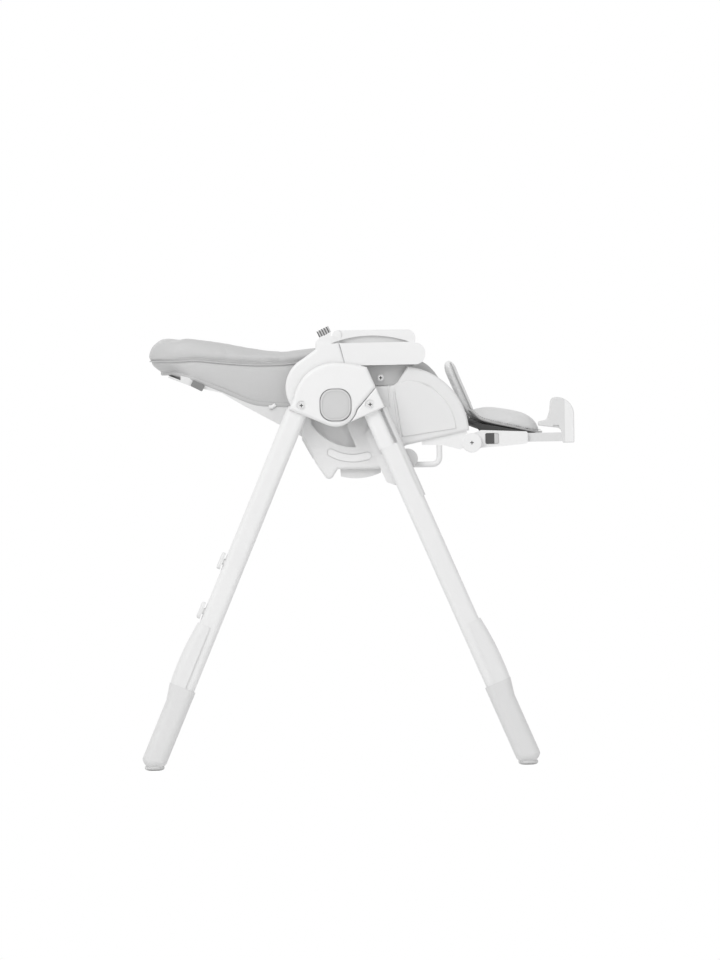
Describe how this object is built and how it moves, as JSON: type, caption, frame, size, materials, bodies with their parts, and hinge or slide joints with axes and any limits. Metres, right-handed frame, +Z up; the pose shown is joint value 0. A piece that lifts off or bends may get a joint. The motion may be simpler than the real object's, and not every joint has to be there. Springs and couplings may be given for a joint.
{
  "type": "folding baby high chair",
  "caption": "Folding baby high chair on slanted tube legs with side hubs, a padded reclining seat that slides in height, lifting armrests and a padded legrest with foot plate.",
  "frame": {"origin": "on the floor under the centre of the chair's bounding box", "axes": "+X the way the child looks, +Y the child's left, +Z up"},
  "size_m": [0.8437, 0.567, 0.8531],
  "materials": {
    "leg_paint": "white satin powder coat",
    "white_plastic": "white satin moulding",
    "pale_plastic": "pale grey satin moulding",
    "grey_plastic": "grey satin moulding",
    "dark_plastic": "dark grey moulding",
    "rubber": "grey rubber",
    "steel": "zinc plated",
    "vinyl": "light grey wipe-clean vinyl"
  },
  "bodies": {
    "front_frame": {"front_leg_right": "leg_paint", "front_leg_left": "leg_paint", "front_cross_tube": "leg_paint", "front_sleeves": "white_plastic", "front_boot_right": "pale_plastic", "front_boot_left": "pale_plastic", "front_glides": "rubber", "hub_bracket_right": "white_plastic", "hub_bracket_left": "white_plastic", "front_hub_screws": "steel", "hub_pivot_pins": "steel"},
    "rear_frame": {"rear_leg_right": "leg_paint", "rear_leg_left": "leg_paint", "rear_cross_tube": "leg_paint", "rear_sleeves": "white_plastic", "rear_boot_right": "pale_plastic", "rear_boot_left": "pale_plastic", "rear_glides": "rubber", "hub_housing_right": "white_plastic", "hub_housing_left": "white_plastic", "hub_covers": "white_plastic", "rear_hub_screws": "steel", "tray_studs": "white_plastic", "fold_spring_right": "steel", "fold_spring_left": "steel"},
    "fold_button_right": {"fold_button_right": "grey_plastic"},
    "fold_button_left": {"fold_button_left": "grey_plastic"},
    "seat": {"seat_bucket": "pale_plastic", "seat_pan": "pale_plastic", "seat_bottom_cover": "pale_plastic", "seat_side_right": "white_plastic", "seat_side_left": "white_plastic", "side_inlays": "white_plastic", "height_carriage_right": "pale_plastic", "height_carriage_left": "pale_plastic", "shoulder_right": "pale_plastic", "shoulder_left": "pale_plastic", "seat_braces": "leg_paint", "legrest_brackets": "white_plastic", "legrest_pivots": "white_plastic", "seat_screws": "steel", "armrest_pins": "steel", "seat_pad": "vinyl", "crotch_post": "pale_plastic", "crotch_pad": "vinyl"},
    "height_button_right": {"height_button_right": "grey_plastic"},
    "height_button_left": {"height_button_left": "grey_plastic"},
    "backrest": {"backrest_shell": "pale_plastic", "backrest_pad": "vinyl", "recline_pins": "steel"},
    "recline_handle": {"recline_handle": "dark_plastic"},
    "armrest_right": {"armrest_right": "white_plastic"},
    "armrest_left": {"armrest_left": "white_plastic"},
    "armrest_button_right": {"armrest_button_right": "dark_plastic"},
    "armrest_button_left": {"armrest_button_left": "dark_plastic"},
    "legrest": {"legrest_frame": "white_plastic", "legrest_pad": "vinyl"},
    "legrest_button_right": {"legrest_button_right": "dark_plastic"},
    "legrest_button_left": {"legrest_button_left": "dark_plastic"},
    "footplate": {"foot_plate": "white_plastic"}
  },
  "joints": [
    {"name": "frame_fold", "type": "hinge", "parent": "front_frame", "child": "rear_frame", "pos_m": [-0.04, 0, 0.7], "axis": [0, -1, 0], "range_deg": [0, 46]},
    {"name": "seat_height", "type": "slide", "parent": "front_frame", "child": "seat", "axis": [0.3923, 0, -0.9198], "range_m": [0, 0.21]},
    {"name": "recline", "type": "hinge", "parent": "seat", "child": "backrest", "pos_m": [-0.075, 0, 0.672], "axis": [0, 1, 0], "range_deg": [0, 62]},
    {"name": "legrest_tilt", "type": "hinge", "parent": "seat", "child": "legrest", "pos_m": [0.222, 0, 0.623], "axis": [0, 1, 0], "range_deg": [0, 85]},
    {"name": "footplate_extend", "type": "slide", "parent": "legrest", "child": "footplate", "axis": [1, 0, 0], "range_m": [0, 0.04]},
    {"name": "armrest_lift_right", "type": "hinge", "parent": "seat", "child": "armrest_right", "pos_m": [-0.035, -0.2, 0.835], "axis": [0, -1, 0], "range_deg": [0, 80]},
    {"name": "armrest_lift_left", "type": "hinge", "parent": "seat", "child": "armrest_left", "pos_m": [-0.035, 0.2, 0.835], "axis": [0, -1, 0], "range_deg": [0, 80]},
    {"name": "fold_button_right", "type": "slide", "parent": "rear_frame", "child": "fold_button_right", "axis": [0, 1, 0], "range_m": [0, 0.004], "stiffness_N_per_m": 1500, "deforming": ["fold_spring_right"]},
    {"name": "fold_button_left", "type": "slide", "parent": "rear_frame", "child": "fold_button_left", "axis": [0, -1, 0], "range_m": [0, 0.004], "stiffness_N_per_m": 1500, "deforming": ["fold_spring_left"]},
    {"name": "height_button_right", "type": "slide", "parent": "seat", "child": "height_button_right", "axis": [-0.9198, 0, -0.3923], "range_m": [0, 0.006], "stiffness_N_per_m": 1200},
    {"name": "height_button_left", "type": "slide", "parent": "seat", "child": "height_button_left", "axis": [-0.9198, 0, -0.3923], "range_m": [0, 0.006], "stiffness_N_per_m": 1200},
    {"name": "armrest_button_right", "type": "slide", "parent": "seat", "child": "armrest_button_right", "axis": [-0.9018, 0, -0.4321], "range_m": [0, 0.004], "stiffness_N_per_m": 1200},
    {"name": "armrest_button_left", "type": "slide", "parent": "seat", "child": "armrest_button_left", "axis": [-0.9018, 0, -0.4321], "range_m": [0, 0.004], "stiffness_N_per_m": 1200},
    {"name": "recline_handle", "type": "slide", "parent": "backrest", "child": "recline_handle", "axis": [-0.9738, 0, 0.2272], "range_m": [0, 0.008], "stiffness_N_per_m": 800},
    {"name": "legrest_button_right", "type": "slide", "parent": "legrest", "child": "legrest_button_right", "axis": [0, 1, 0], "range_m": [0, 0.003], "stiffness_N_per_m": 1200},
    {"name": "legrest_button_left", "type": "slide", "parent": "legrest", "child": "legrest_button_left", "axis": [0, -1, 0], "range_m": [0, 0.003], "stiffness_N_per_m": 1200}
  ]
}
